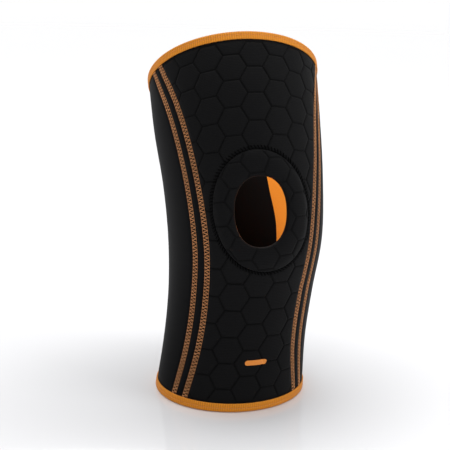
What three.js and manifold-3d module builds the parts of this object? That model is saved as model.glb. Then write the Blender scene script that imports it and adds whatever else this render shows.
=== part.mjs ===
// A hexagon-padded knee sleeve with an open kneecap, standing on its lower hem.
// Millimetres, +Z up. The front of the knee faces -Y and the lower hem stands on z = 0.

import * as THREE from 'three';
import { mergeVertices } from 'three/addons/utils/BufferGeometryUtils.js';
import Module from 'manifold-3d';

// Driving dimensions of the leg form
const SLEEVE_HEIGHT = 252; // floor to the middle of the upper opening
const TOP_WIDTH = 140; // across the upper opening
const THIGH_LEAN = 34.7; // degrees that the upper opening leans back

// Driving dimensions of the cloth
const PANEL_THICKNESS = 2.6; // padded cloth, from the crown of a pad to its back
const LINING_THICKNESS = 0.8;
const PIECE_GAP = 0.3; // between neighbouring pieces
const STRIP_WIDTH = 11.5; // plain strip between two rows of stitches
const PLAIN_SINK = 0.4; // how far plain cloth lies below the crowns of the pads

// Driving dimensions of the bindings
const BINDING_WIDTH = 7; // how far the tape reaches over the cloth
const TAPE_THICKNESS = 0.9;
const HEM_PINCH = 0.9; // how much the tape squeezes the cloth
const PINCH_RUN = 5; // length over which the squeezed cloth swells again

// Driving dimensions of the quilting
const HEX_PITCH = 21; // across the flats of one pad
const GROOVE_WIDTH = 2.4;
const GROOVE_DEPTH = 1.1;
const PAD_CROWN = 0.3; // rise of a pad from its shoulder to its middle

// Driving dimensions of the kneecap opening and the ring round it
const HOLE_WIDTH = 42.4;
const HOLE_HEIGHT = 54;
const HOLE_SQUARENESS = 2.25; // exponent of the oval, 2 is an ellipse
const HOLE_SHIFT = 2; // how far the hole lies to the left of the ring's middle
const RING_SIDE_BORDER = 18.4;
const RING_END_BORDER = 20.5;
const RING_TURN = 14; // degrees that the top of the ring leans to the left
const RING_RISE = 2.2; // crest of the ring above the crowns of the pads

// Where the middle of the ring lies, as a share of the front's length from the lower hem
const KNEE_SHARE = 0.535;

// The leg in evenly spaced sections from the lower hem to the upper one.
// half, front, back, sway and backSeam are shares of TOP_WIDTH. They are the half width, the depths before and
// behind the middle, the sideways drift and the half width of the back panel measured round the leg.
// setback is a share of SLEEVE_HEIGHT, lean a share of THIGH_LEAN.
// seam, the half width of the front panel measured round the leg, and grain, the drift of the quilting, are shares
// of the ring's width. rows is the share of the pad rows that lie below the section.
const LEG_SECTIONS = [
  { half: 0.439, front: 0.401, back: 0.395, setback: 0.000, lean: 0.000, sway: -0.043,
    seam: 0.653, backSeam: 0.286, grain: -0.010, rows: 0.008 },
  { half: 0.422, front: 0.391, back: 0.400, setback: 0.018, lean: 0.095, sway: -0.010,
    seam: 0.535, backSeam: 0.307, grain: 0.005, rows: 0.160 },
  { half: 0.426, front: 0.411, back: 0.408, setback: 0.021, lean: 0.104, sway: 0.019,
    seam: 0.518, backSeam: 0.321, grain: 0.000, rows: 0.293 },
  { half: 0.449, front: 0.478, back: 0.422, setback: 0.033, lean: 0.199, sway: 0.041,
    seam: 0.577, backSeam: 0.307, grain: -0.030, rows: 0.432 },
  { half: 0.465, front: 0.514, back: 0.438, setback: 0.075, lean: 0.527, sway: 0.037,
    seam: 0.682, backSeam: 0.271, grain: -0.040, rows: 0.603 },
  { half: 0.487, front: 0.516, back: 0.456, setback: 0.142, lean: 0.888, sway: 0.023,
    seam: 0.828, backSeam: 0.257, grain: 0.000, rows: 0.795 },
  { half: 0.500, front: 0.481, back: 0.476, setback: 0.217, lean: 1.000, sway: 0.018,
    seam: 1.068, backSeam: 0.257, grain: 0.050, rows: 0.962 },
];

// How finely the faceted pieces are cut
const ARC_STEPS = 24; // steps of a walk round a section
const LENGTH_STEPS = 120; // steps of a walk up the front
const MIDDLE_ROWS = 10; // rows of facets between the swells at the two hems
const BINDING_SIDES = 52;
const RING_SIDES = 44;
const COLUMN_WIDTH = 12; // width of one facet round the leg

// Sizes that follow from the driving dimensions
const WALL_THICKNESS = PANEL_THICKNESS + PIECE_GAP + LINING_THICKNESS;
const RING_WIDTH = HOLE_WIDTH + 2 * RING_SIDE_BORDER;
const RING_HEIGHT = HOLE_HEIGHT + 2 * RING_END_BORDER;
const HEX_COLUMN = HEX_PITCH * Math.sqrt(3) / 2;
const HEM_START = TAPE_THICKNESS + PIECE_GAP;
const CUT_MARGIN = WALL_THICKNESS; // how far a cutting solid reaches past the cloth
const FACET_DIP = COLUMN_WIDTH ** 2 / (4 * TOP_WIDTH); // how far the middle of a facet lies inside the curve

const wasm = await Module();
wasm.setup();

// The leg form

function sectionValue(column, share) {
  const last = LEG_SECTIONS.length - 1;
  const position = share * last;
  const inside = THREE.MathUtils.clamp(position, 0, last);
  const index = Math.min(Math.floor(inside), last - 1);
  const value = (k) => LEG_SECTIONS[k][column];
  const slope = (k) => (value(Math.min(k + 1, last)) - value(Math.max(k - 1, 0))) / (k % last ? 2 : 1);
  const f = inside - index;
  const smooth = f * f * (3 - 2 * f);
  const curve = value(index) * (1 - smooth) + value(index + 1) * smooth
    + slope(index) * f * (1 - f) * (1 - f) - slope(index + 1) * f * f * (1 - f);
  return curve + (position - inside) * slope(position > inside ? last : 0);
}

function sectionAt(share) {
  return {
    height: SLEEVE_HEIGHT * share,
    half: TOP_WIDTH * sectionValue('half', share),
    front: TOP_WIDTH * sectionValue('front', share),
    back: TOP_WIDTH * sectionValue('back', share),
    sway: TOP_WIDTH * sectionValue('sway', share),
    setback: SLEEVE_HEIGHT * sectionValue('setback', share),
    lean: THREE.MathUtils.degToRad(THIGH_LEAN * sectionValue('lean', share)),
  };
}

// A point of the leg form: share goes up the leg, angle goes round it from the front towards +X,
// and rise is the height above the crowns of the pads.
function place(share, angle, rise) {
  const section = sectionAt(share);
  const depth = Math.cos(angle) > 0 ? section.front : section.back;
  const normal = new THREE.Vector2(depth * Math.sin(angle), section.half * Math.cos(angle)).normalize();
  const across = section.half * Math.sin(angle) + rise * normal.x;
  const forward = depth * Math.cos(angle) + rise * normal.y;
  return new THREE.Vector3(
    section.sway + across,
    section.setback - forward * Math.cos(section.lean),
    section.height + forward * Math.sin(section.lean),
  );
}

// The angle reached by walking an arc round the section, from its front or from its back
function angleAlong(share, arc, start = 0) {
  const section = sectionAt(share);
  const reach = (angle) => Math.hypot(
    section.half * Math.cos(angle),
    (Math.cos(angle) > 0 ? section.front : section.back) * Math.sin(angle),
  );
  const step = arc / ARC_STEPS;
  let angle = start;
  for (let k = 0; k < ARC_STEPS; k += 1) {
    const middle = angle + step / 2 / reach(angle);
    angle += step / reach(middle);
  }
  return angle;
}

// The share of the leg that lies a distance along the cloth from a hem
function hemShare(upper, angle, distance) {
  const edge = upper ? 1 : 0;
  const probe = upper ? 1 - 1 / LENGTH_STEPS : 1 / LENGTH_STEPS;
  const length = place(edge, angle, 0).distanceTo(place(probe, angle, 0)) * LENGTH_STEPS;
  return upper ? 1 - distance / length : distance / length;
}

// Lengths up the front of the leg, one for each of LENGTH_STEPS
const frontLengths = [0];
for (let k = 1; k <= LENGTH_STEPS; k += 1) {
  const step = place((k - 1) / LENGTH_STEPS, 0, 0).distanceTo(place(k / LENGTH_STEPS, 0, 0));
  frontLengths.push(frontLengths[k - 1] + step);
}
const FRONT_LENGTH = frontLengths[LENGTH_STEPS];

function shareAtLength(length) {
  const upper = THREE.MathUtils.clamp(frontLengths.findIndex((value) => value > length), 1, LENGTH_STEPS);
  const lower = upper - 1;
  const part = (length - frontLengths[lower]) / (frontLengths[upper] - frontLengths[lower]);
  return (lower + part) / LENGTH_STEPS;
}

// How far the outer face sinks where a binding squeezes the cloth
function pinch(share, angle) {
  const low = share / hemShare(false, angle, 1);
  const high = (1 - share) / (1 - hemShare(true, angle, 1));
  const swell = THREE.MathUtils.smoothstep(Math.min(low, high), BINDING_WIDTH, BINDING_WIDTH + PINCH_RUN);
  return HEM_PINCH * (1 - swell);
}

// Building closed solids

function toGeometry(points, triangles) {
  const geometry = new THREE.BufferGeometry();
  geometry.setAttribute('position', new THREE.Float32BufferAttribute(points.flatMap((p) => p.toArray()), 3));
  geometry.setIndex(triangles);
  return mergeVertices(geometry, 1e-4);
}

function toSolid(geometry) {
  const mesh = new wasm.Mesh({
    numProp: 3,
    vertProperties: Float32Array.from(geometry.attributes.position.array),
    triVerts: Uint32Array.from(geometry.index.array),
  });
  return new wasm.Manifold(mesh);
}

function fromSolid(solid) {
  const mesh = solid.getMesh();
  const geometry = new THREE.BufferGeometry();
  geometry.setAttribute('position', new THREE.BufferAttribute(mesh.vertProperties, 3));
  geometry.setIndex(new THREE.BufferAttribute(mesh.triVerts, 1));
  return geometry;
}

// A loop of cross-sections, each a closed list of the same number of points, joined all the way round
function loopGeometry(sections) {
  const size = sections[0].length;
  const triangles = [];
  sections.forEach((_, i) => {
    const next = (i + 1) % sections.length;
    for (let j = 0; j < size; j += 1) {
      const a = i * size + j;
      const b = i * size + (j + 1) % size;
      const c = next * size + j;
      const d = next * size + (j + 1) % size;
      triangles.push(a, b, d, a, d, c);
    }
  });
  return toGeometry(sections.flat(), triangles);
}

// Shares of the leg where the facets of a panel have their rows, for one angle
function rowShares(angle) {
  const swell = BINDING_WIDTH + PINCH_RUN;
  const low = [HEM_START, BINDING_WIDTH, swell].map((distance) => hemShare(false, angle, distance));
  const high = [swell, BINDING_WIDTH, HEM_START].map((distance) => hemShare(true, angle, distance));
  const middle = [];
  for (let k = 1; k < MIDDLE_ROWS; k += 1) {
    middle.push(THREE.MathUtils.lerp(low[2], high[0], k / MIDDLE_ROWS));
  }
  return [...low, ...middle, ...high];
}

// The columns of facets between two edges, each as a function that gives its angle at a share of the leg
function columnsBetween(from, to) {
  const widths = LEG_SECTIONS.map((_, k, { length }) => to(k / (length - 1)) - from(k / (length - 1)));
  const count = Math.ceil(Math.max(...widths) * TOP_WIDTH / 2 / COLUMN_WIDTH);
  const columns = [];
  for (let k = 0; k < count; k += 1) {
    columns.push((share) => THREE.MathUtils.lerp(from(share), to(share), k / count));
  }
  return columns;
}

// A panel of cloth that reaches from its first edge over any others to its last one. Each edge is a function that
// gives the angle at a share of the leg, and outer and inner give the rise of the two faces.
function panelGeometry({ edges, outer, inner }) {
  const lastEdge = edges[edges.length - 1];
  const lines = edges.slice(1).flatMap((edge, k) => columnsBetween(edges[k], edge));
  lines.push(lastEdge);
  const columns = lines.length - 1;
  const rows = rowShares(0).length;
  const points = [];
  for (const face of [outer, inner]) {
    for (let i = 0; i <= columns; i += 1) {
      for (let j = 0; j < rows; j += 1) {
        let share = (j + 0.5) / rows;
        let angle = 0;
        for (let pass = 0; pass < 3; pass += 1) {
          angle = lines[i](share);
          share = rowShares(angle)[j];
        }
        points.push(place(share, angle, face(share, angle)));
      }
    }
  }
  const back = (columns + 1) * rows;
  const at = (i, j) => i * rows + j;
  const triangles = [];
  const quad = (a, b, c, d) => triangles.push(a, b, c, a, c, d);
  for (let i = 0; i < columns; i += 1) {
    for (let j = 0; j < rows - 1; j += 1) {
      quad(at(i, j), at(i + 1, j), at(i + 1, j + 1), at(i, j + 1));
      quad(back + at(i, j), back + at(i, j + 1), back + at(i + 1, j + 1), back + at(i + 1, j));
    }
    quad(at(i, 0), back + at(i, 0), back + at(i + 1, 0), at(i + 1, 0));
    quad(at(i, rows - 1), at(i + 1, rows - 1), back + at(i + 1, rows - 1), back + at(i, rows - 1));
  }
  for (let j = 0; j < rows - 1; j += 1) {
    quad(at(0, j), at(0, j + 1), back + at(0, j + 1), back + at(0, j));
    quad(at(columns, j), back + at(columns, j), back + at(columns, j + 1), at(columns, j + 1));
  }
  return toGeometry(points, triangles);
}

// Seams: the edges of the panels, each as an angle at a share of the leg

function frontSeam(offset) {
  return (share) => angleAlong(share, RING_WIDTH * sectionValue('seam', share) + offset);
}

function backSeam(offset) {
  return (share) => angleAlong(share, -TOP_WIDTH * sectionValue('backSeam', share) + offset, Math.PI);
}

function mirrored(edge) {
  return (share) => -edge(share);
}

// Ovals on the front of the knee, in lengths across and up the front from the middle of the ring

function ovalPoint(turn, width, height, squareness, shift, lean) {
  const power = 2 / squareness;
  const across = width / 2 * Math.sign(Math.cos(turn)) * Math.abs(Math.cos(turn)) ** power;
  const up = height / 2 * Math.sign(Math.sin(turn)) * Math.abs(Math.sin(turn)) ** power;
  return new THREE.Vector2(across, up).rotateAround(new THREE.Vector2(), lean).add(new THREE.Vector2(-shift, 0));
}

function holePoint(turn, clearance = 0) {
  return ovalPoint(turn, HOLE_WIDTH + 2 * clearance, HOLE_HEIGHT + 2 * clearance, HOLE_SQUARENESS, HOLE_SHIFT, 0);
}

function ringPoint(turn, clearance = 0) {
  const lean = THREE.MathUtils.degToRad(RING_TURN);
  return ovalPoint(turn, RING_WIDTH + 2 * clearance, RING_HEIGHT + 2 * clearance, 2, 0, lean);
}

function placeOnKnee(point, rise) {
  const share = shareAtLength(KNEE_SHARE * FRONT_LENGTH + point.y);
  return place(share, angleAlong(share, point.x), rise);
}

// A plug through the cloth with the outline of an oval, used to cut it out
function ovalPlug(outline) {
  const rises = [-2 * CUT_MARGIN, 2 * CUT_MARGIN];
  const scales = [1 / 3, 2 / 3, 1];
  const points = [];
  for (const rise of rises) {
    points.push(placeOnKnee(new THREE.Vector2(-HOLE_SHIFT, 0), rise));
    for (const scale of scales) {
      for (let k = 0; k < RING_SIDES; k += 1) {
        const edge = outline(2 * Math.PI * k / RING_SIDES);
        points.push(placeOnKnee(edge.multiplyScalar(scale), rise));
      }
    }
  }
  const layer = 1 + scales.length * RING_SIDES;
  const at = (top, ring, k) => (top ? layer : 0) + 1 + ring * RING_SIDES + k % RING_SIDES;
  const triangles = [];
  for (let k = 0; k < RING_SIDES; k += 1) {
    triangles.push(0, at(false, 0, k + 1), at(false, 0, k));
    triangles.push(layer, at(true, 0, k), at(true, 0, k + 1));
    for (let ring = 0; ring < scales.length - 1; ring += 1) {
      triangles.push(at(false, ring, k), at(false, ring, k + 1), at(false, ring + 1, k + 1));
      triangles.push(at(false, ring, k), at(false, ring + 1, k + 1), at(false, ring + 1, k));
      triangles.push(at(true, ring, k), at(true, ring + 1, k + 1), at(true, ring, k + 1));
      triangles.push(at(true, ring, k), at(true, ring + 1, k), at(true, ring + 1, k + 1));
    }
    const rim = scales.length - 1;
    triangles.push(at(false, rim, k), at(false, rim, k + 1), at(true, rim, k + 1));
    triangles.push(at(false, rim, k), at(true, rim, k + 1), at(true, rim, k));
  }
  return toSolid(toGeometry(points, triangles));
}

// The quilting: a block of cloth whose outer face is a field of hexagonal pads with grooves between them.
// Columns of pads are one HEX_COLUMN apart, and every other column is moved up by half a pad.

const HEX_CORNERS = [[2 / 3, 0], [1 / 3, 1 / 2], [-1 / 3, 1 / 2], [-2 / 3, 0], [-1 / 3, -1 / 2], [1 / 3, -1 / 2]];
const ROWS_ON_FRONT = FRONT_LENGTH / HEX_PITCH;

function rowAt(share) {
  return ROWS_ON_FRONT * sectionValue('rows', share);
}

function shareAtRow(row) {
  let low = -0.5;
  let high = 1.5;
  while (high - low > 1e-6) {
    const middle = (low + high) / 2;
    if (rowAt(middle) < row) {
      low = middle;
    } else {
      high = middle;
    }
  }
  return low;
}

function placeOnQuilt(column, row, rise) {
  const share = shareAtRow(row);
  const angle = angleAlong(share, RING_WIDTH * sectionValue('grain', share) + column * HEX_COLUMN);
  return place(share, angle, rise - pinch(share, angle));
}

function quiltBlock() {
  const widest = Math.max(...LEG_SECTIONS.map((section) => section.seam + Math.abs(section.grain)));
  const columns = Math.ceil(RING_WIDTH * widest / HEX_COLUMN);
  const shoulder = 1 - GROOVE_WIDTH / HEX_PITCH;
  const depth = -2 * CUT_MARGIN;
  const points = [];
  const triangles = [];
  const known = new Map();
  const edges = new Map();

  const point = (column, row, rise) => {
    const key = [Math.round(column * 600), Math.round(row * 600), rise].join();
    if (!known.has(key)) {
      known.set(key, points.length);
      points.push(placeOnQuilt(column, row, rise));
    }
    return known.get(key);
  };

  for (let column = -columns; column <= columns; column += 1) {
    const shift = column % 2 ? 0.5 : 0;
    const first = Math.floor(rowAt(0)) - 1;
    const last = Math.ceil(rowAt(1)) + 1;
    for (let row = first + shift; row <= last; row += 1) {
      const crown = point(column, row, 0);
      const under = point(column, row, depth);
      const inner = HEX_CORNERS.map(([x, y]) => point(column + x * shoulder, row + y * shoulder, -PAD_CROWN));
      const groove = HEX_CORNERS.map(([x, y]) => point(column + x, row + y, -GROOVE_DEPTH));
      const base = HEX_CORNERS.map(([x, y]) => point(column + x, row + y, depth));
      for (let k = 0; k < 6; k += 1) {
        const next = (k + 1) % 6;
        triangles.push(crown, inner[k], inner[next]);
        triangles.push(inner[k], groove[k], groove[next], inner[k], groove[next], inner[next]);
        triangles.push(under, base[next], base[k]);
        edges.set([groove[k], groove[next]].join(), [groove[k], base[k], base[next], groove[next]]);
      }
    }
  }
  edges.forEach(([top, bottom, nextBottom, nextTop]) => {
    if (!edges.has([nextTop, top].join())) {
      triangles.push(top, bottom, nextBottom, top, nextBottom, nextTop);
    }
  });
  return toSolid(toGeometry(points, triangles));
}

// The pieces

const HALF_GAP = PIECE_GAP / 2;
const frontEdge = frontSeam(-HALF_GAP);
const stripInner = frontSeam(HALF_GAP);
const stripOuter = frontSeam(STRIP_WIDTH - HALF_GAP);
const sideFront = frontSeam(STRIP_WIDTH + HALF_GAP);
const sideBack = backSeam(-HALF_GAP);
const backEdge = backSeam(HALF_GAP);

const plainFace = (share, angle) => -Math.max(PLAIN_SINK, pinch(share, angle));
const panelBack = () => -PANEL_THICKNESS;
const liningFace = () => -PANEL_THICKNESS - PIECE_GAP;
const wallBack = () => -WALL_THICKNESS;

// The outline of the front panel reaches above the pads, except where a binding squeezes them
function frontCover(share, angle) {
  const squeezed = pinch(share, angle) / HEM_PINCH;
  return THREE.MathUtils.lerp(CUT_MARGIN, -HEM_PINCH, squeezed);
}

function frontPanel() {
  const outline = panelGeometry({ edges: [mirrored(frontEdge), frontEdge], outer: frontCover, inner: panelBack });
  const plug = ovalPlug((turn) => ringPoint(turn, PIECE_GAP));
  return fromSolid(quiltBlock().intersect(toSolid(outline)).subtract(plug));
}

// The ring's profile from the opening to its rim. across is a share of the border, rise a share of RING_RISE and
// sink a share of PANEL_THICKNESS.
const RING_PROFILE = [
  { across: 0.00, rise: 0.00, sink: 0.60 },
  { across: 0.07, rise: 0.25, sink: 0.05 },
  { across: 0.22, rise: 0.80, sink: 0.00 },
  { across: 0.48, rise: 1.00, sink: 0.00 },
  { across: 0.74, rise: 0.80, sink: 0.00 },
  { across: 0.93, rise: 0.25, sink: 0.05 },
  { across: 1.00, rise: 0.00, sink: 0.30 },
  { across: 1.00, rise: 0.00, sink: 1.00 },
  { across: 0.67, rise: 0.00, sink: 1.00 },
  { across: 0.33, rise: 0.00, sink: 1.00 },
  { across: 0.00, rise: 0.00, sink: 1.00 },
];

function patellaRing() {
  const sections = [];
  for (let k = 0; k < RING_SIDES; k += 1) {
    const turn = 2 * Math.PI * k / RING_SIDES;
    const hole = holePoint(turn);
    const rim = ringPoint(turn);
    sections.push(RING_PROFILE.map(({ across, rise, sink }) => (
      placeOnKnee(hole.clone().lerp(rim, across), rise * RING_RISE - sink * PANEL_THICKNESS)
    )));
  }
  return loopGeometry(sections);
}

function lining() {
  const rightEdges = [stripInner, sideFront, sideBack];
  const leftEdges = rightEdges.map(mirrored).reverse();
  const sheet = panelGeometry({ edges: [...leftEdges, ...rightEdges], outer: liningFace, inner: wallBack });
  return fromSolid(toSolid(sheet).subtract(ovalPlug((turn) => holePoint(turn))));
}

// A tape folded over a hem: out and in are the rises of its outer and inner faces
function binding(upper) {
  const out = PIECE_GAP + TAPE_THICKNESS - HEM_PINCH;
  const inside = -WALL_THICKNESS - FACET_DIP - PIECE_GAP - TAPE_THICKNESS;
  const fold = 0.8 * TAPE_THICKNESS;
  const profile = [
    [BINDING_WIDTH, out],
    [fold, out],
    [0, out - fold],
    [0, inside + fold],
    [fold, inside],
    [BINDING_WIDTH, inside],
    [BINDING_WIDTH, inside + TAPE_THICKNESS],
    [TAPE_THICKNESS, inside + TAPE_THICKNESS],
    [TAPE_THICKNESS, out - TAPE_THICKNESS],
    [BINDING_WIDTH, out - TAPE_THICKNESS],
  ];
  if (upper) {
    profile.reverse();
  }
  const sections = [];
  for (let k = 0; k < BINDING_SIDES; k += 1) {
    const angle = 2 * Math.PI * k / BINDING_SIDES;
    sections.push(profile.map(([distance, rise]) => place(hemShare(upper, angle, distance), angle, rise)));
  }
  return loopGeometry(sections);
}

// Materials, with the colours of the photograph

const knit = () => new THREE.MeshStandardMaterial({ color: '#202022', roughness: 0.75, metalness: 0 });
const paddedKnit = () => new THREE.MeshStandardMaterial({ color: '#1a1a1c', roughness: 0.6, metalness: 0 });
const orangeKnit = () => new THREE.MeshStandardMaterial({ color: '#df7a1f', roughness: 0.85, metalness: 0 });
const orangeTape = () => new THREE.MeshStandardMaterial({ color: '#cf8b2c', roughness: 0.7, metalness: 0 });

// The sleeve

const sleeve = new THREE.Group();

function add(name, geometry, material) {
  const mesh = new THREE.Mesh(geometry, material);
  mesh.name = name;
  sleeve.add(mesh);
}

const plainPanel = (from, to, inner = panelBack) => panelGeometry({ edges: [from, to], outer: plainFace, inner });
const backEdgeLeft = (share) => 2 * Math.PI - backEdge(share);

add('front_panel', frontPanel(), paddedKnit());
add('patella_ring', patellaRing(), paddedKnit());
add('strip_right', plainPanel(stripInner, stripOuter), knit());
add('strip_left', plainPanel(mirrored(stripOuter), mirrored(stripInner)), knit());
add('side_right', plainPanel(sideFront, sideBack), knit());
add('side_left', plainPanel(mirrored(sideBack), mirrored(sideFront)), knit());
add('back_panel', plainPanel(backEdge, backEdgeLeft, wallBack), knit());
add('lining', lining(), orangeKnit());
add('binding_top', binding(true), orangeTape());
add('binding_bottom', binding(false), orangeTape());

// The middle of the sleeve's outer box stands over the origin
const middle = new THREE.Box3().setFromObject(sleeve).getCenter(new THREE.Vector3());
sleeve.position.set(-middle.x, -middle.y, 0);

export default sleeve;
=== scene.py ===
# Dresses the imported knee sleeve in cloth: the quilted front, the ring round the kneecap, the plain panels,
# the lining, the hem tapes, every row of stitches, and the studio that it stands in.
# Metres, +Z up. The front of the knee faces -Y and the lower hem stands on z = 0.

import math

import bpy
import numpy as np
from bpy.props import FloatProperty, FloatVectorProperty, PointerProperty
from bpy.types import Operator, Panel, PropertyGroup
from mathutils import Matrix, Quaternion, Vector


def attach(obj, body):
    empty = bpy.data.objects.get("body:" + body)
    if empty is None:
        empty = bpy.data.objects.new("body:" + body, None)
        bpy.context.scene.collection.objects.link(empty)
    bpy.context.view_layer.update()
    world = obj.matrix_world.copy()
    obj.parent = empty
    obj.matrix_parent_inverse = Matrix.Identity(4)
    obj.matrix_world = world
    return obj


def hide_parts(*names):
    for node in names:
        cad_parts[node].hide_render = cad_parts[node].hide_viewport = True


bl_info = {
    "name": "Knee Sleeve",
    "version": (1, 0, 0),
    "blender": (4, 5, 0),
    "location": "View3D > Sidebar > Knee Sleeve",
    "description": "Builds a quilted knee sleeve with an open kneecap",
    "category": "Add Mesh",
}

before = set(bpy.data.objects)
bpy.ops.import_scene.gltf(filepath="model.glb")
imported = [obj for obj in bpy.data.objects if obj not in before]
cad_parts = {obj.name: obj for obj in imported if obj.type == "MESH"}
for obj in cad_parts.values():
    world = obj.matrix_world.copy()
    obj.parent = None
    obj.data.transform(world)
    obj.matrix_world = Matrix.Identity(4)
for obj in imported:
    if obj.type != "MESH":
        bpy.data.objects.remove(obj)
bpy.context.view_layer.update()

MM = 0.001

# Sizes that the cloth shares with the part's source
SLEEVE_HEIGHT = 252 * MM
TOP_WIDTH = 140 * MM
THIGH_LEAN = math.radians(34.7)
PANEL_THICKNESS = 2.6 * MM
LINING_THICKNESS = 0.8 * MM
PIECE_GAP = 0.3 * MM
STRIP_WIDTH = 11.5 * MM
PLAIN_SINK = 0.4 * MM
BINDING_WIDTH = 7 * MM
TAPE_THICKNESS = 0.9 * MM
HEM_PINCH = 0.9 * MM
PINCH_RUN = 5 * MM
HEX_PITCH = 21 * MM
HOLE_WIDTH = 42.4 * MM
HOLE_HEIGHT = 54 * MM
HOLE_SQUARENESS = 2.25
HOLE_SHIFT = 2 * MM
RING_SIDE_BORDER = 18.4 * MM
RING_END_BORDER = 20.5 * MM
RING_SQUARENESS = 2.0
RING_TURN = math.radians(14)
KNEE_SHARE = 0.535

# The leg in evenly spaced sections from the lower hem up, in the shares that the part's source uses
SECTIONS = {
    "half": np.array([0.439, 0.422, 0.426, 0.449, 0.465, 0.487, 0.500]),
    "front": np.array([0.401, 0.391, 0.411, 0.478, 0.514, 0.516, 0.481]),
    "back": np.array([0.395, 0.400, 0.408, 0.422, 0.438, 0.456, 0.476]),
    "setback": np.array([0.000, 0.018, 0.021, 0.033, 0.075, 0.142, 0.217]),
    "lean": np.array([0.000, 0.095, 0.104, 0.199, 0.527, 0.888, 1.000]),
    "sway": np.array([-0.043, -0.010, 0.019, 0.041, 0.037, 0.023, 0.018]),
    "seam": np.array([0.653, 0.535, 0.518, 0.577, 0.682, 0.828, 1.068]),
    "back_seam": np.array([0.286, 0.307, 0.321, 0.307, 0.271, 0.257, 0.257]),
    "grain": np.array([-0.010, 0.005, 0.000, -0.030, -0.040, 0.000, 0.050]),
    "rows": np.array([0.008, 0.160, 0.293, 0.432, 0.603, 0.795, 0.962]),
}

# Where the part's source puts the middle of the leg form, so that the box of the CAD is centred
MIDDLE_X = -2.531 * MM
MIDDLE_Y = -24.713 * MM

# Sizes that follow from those above
WALL_THICKNESS = PANEL_THICKNESS + PIECE_GAP + LINING_THICKNESS
RING_WIDTH = HOLE_WIDTH + 2 * RING_SIDE_BORDER
RING_HEIGHT = HOLE_HEIGHT + 2 * RING_END_BORDER
HEX_COLUMN = HEX_PITCH * math.sqrt(3) / 2
HEM_START = TAPE_THICKNESS + PIECE_GAP
TAPE_OUT = PIECE_GAP + TAPE_THICKNESS - HEM_PINCH
TAPE_IN = -WALL_THICKNESS - 2 * PIECE_GAP - TAPE_THICKNESS

WALK_STEPS = 24  # steps of a walk round a section
LENGTH_STEPS = 120  # steps of a walk up the front
FREE_FROM_SEAM = 5.0 * MM  # distance from a seam at which the stitches press the cloth no more


# The leg form

def value_at(column, share):
    """A column of SECTIONS at any share of the leg."""
    values = SECTIONS[column]
    slopes = np.gradient(values)
    last = len(values) - 1
    position = np.asarray(share, float) * last
    inside = np.clip(position, 0, last)
    index = np.minimum(inside.astype(int), last - 1)
    part = inside - index
    smooth = part * part * (3 - 2 * part)
    curve = values[index] * (1 - smooth) + values[index + 1] * smooth
    curve = curve + slopes[index] * part * (1 - part) ** 2 - slopes[index + 1] * part ** 2 * (1 - part)
    return curve + (position - inside) * np.where(position > inside, slopes[last], slopes[0])


def place(share, angle, rise):
    """Points of the leg form. angle goes round from the front towards +X, rise is above the pads' crowns."""
    share, angle, rise = np.broadcast_arrays(share, angle, rise)
    half = TOP_WIDTH * value_at("half", share)
    depth = TOP_WIDTH * np.where(np.cos(angle) > 0, value_at("front", share), value_at("back", share))
    lean = THIGH_LEAN * value_at("lean", share)
    normal_x = depth * np.sin(angle)
    normal_y = half * np.cos(angle)
    size = np.hypot(normal_x, normal_y)
    across = half * np.sin(angle) + rise * normal_x / size
    forward = depth * np.cos(angle) + rise * normal_y / size
    x = MIDDLE_X + TOP_WIDTH * value_at("sway", share) + across
    y = MIDDLE_Y + SLEEVE_HEIGHT * value_at("setback", share) - forward * np.cos(lean)
    z = SLEEVE_HEIGHT * share + forward * np.sin(lean)
    return np.stack((x, y, z), axis=-1)


def reach(share, angle):
    """Length of arc for each radian of angle."""
    depth = np.where(np.cos(angle) > 0, value_at("front", share), value_at("back", share))
    return TOP_WIDTH * np.hypot(value_at("half", share) * np.cos(angle), depth * np.sin(angle))


def angle_along(share, arc, start=0.0):
    """The angle reached by walking an arc round the section from start."""
    share, arc = np.broadcast_arrays(np.asarray(share, float), arc)
    step = arc / WALK_STEPS
    angle = np.full(share.shape, float(start))
    for _ in range(WALK_STEPS):
        middle = angle + step / 2 / reach(share, angle)
        angle = angle + step / reach(share, middle)
    return angle


def arc_along(share, angle):
    """The arc from the front to an angle, the reverse of angle_along."""
    step = angle / WALK_STEPS
    total = np.zeros(np.shape(angle))
    for k in range(WALK_STEPS):
        total = total + step * reach(share, step * (k + 0.5))
    return total


def cloth_length(upper, angle):
    """Length of the cloth for a whole share of the leg, next to a hem."""
    edge = 1.0 if upper else 0.0
    probe = 1 - 1 / LENGTH_STEPS if upper else 1 / LENGTH_STEPS
    gap = place(edge, angle, 0.0) - place(probe, angle, 0.0)
    return np.linalg.norm(gap, axis=-1) * LENGTH_STEPS


def hem_share(upper, angle, distance):
    """The share of the leg that lies a distance along the cloth from a hem."""
    length = cloth_length(upper, angle)
    return 1 - distance / length if upper else distance / length


def from_hem(share, angle):
    """Distance along the cloth to the nearer hem."""
    return np.minimum(share * cloth_length(False, angle), (1 - share) * cloth_length(True, angle))


STEP_SHARES = np.linspace(0, 1, LENGTH_STEPS + 1)
STEP_POINTS = place(STEP_SHARES, 0.0, 0.0)
STEP_LENGTHS = np.concatenate(([0], np.cumsum(np.linalg.norm(np.diff(STEP_POINTS, axis=0), axis=1))))
FRONT_LENGTH = STEP_LENGTHS[-1]
KNEE_LENGTH = KNEE_SHARE * FRONT_LENGTH


def share_at_length(length):
    return np.interp(length, STEP_LENGTHS, STEP_SHARES)


def length_at_share(share):
    return np.interp(share, STEP_SHARES, STEP_LENGTHS)


def place_on_knee(x, y, rise):
    """Points in lengths across and up the front from the middle of the ring."""
    share = share_at_length(KNEE_LENGTH + y)
    return place(share, angle_along(share, x), rise)


def smoothstep(value, low, high):
    part = np.clip((value - low) / (high - low), 0, 1)
    return part * part * (3 - 2 * part)


# Seams and outlines

def front_seam_arc(share):
    return RING_WIDTH * value_at("seam", share)


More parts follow.
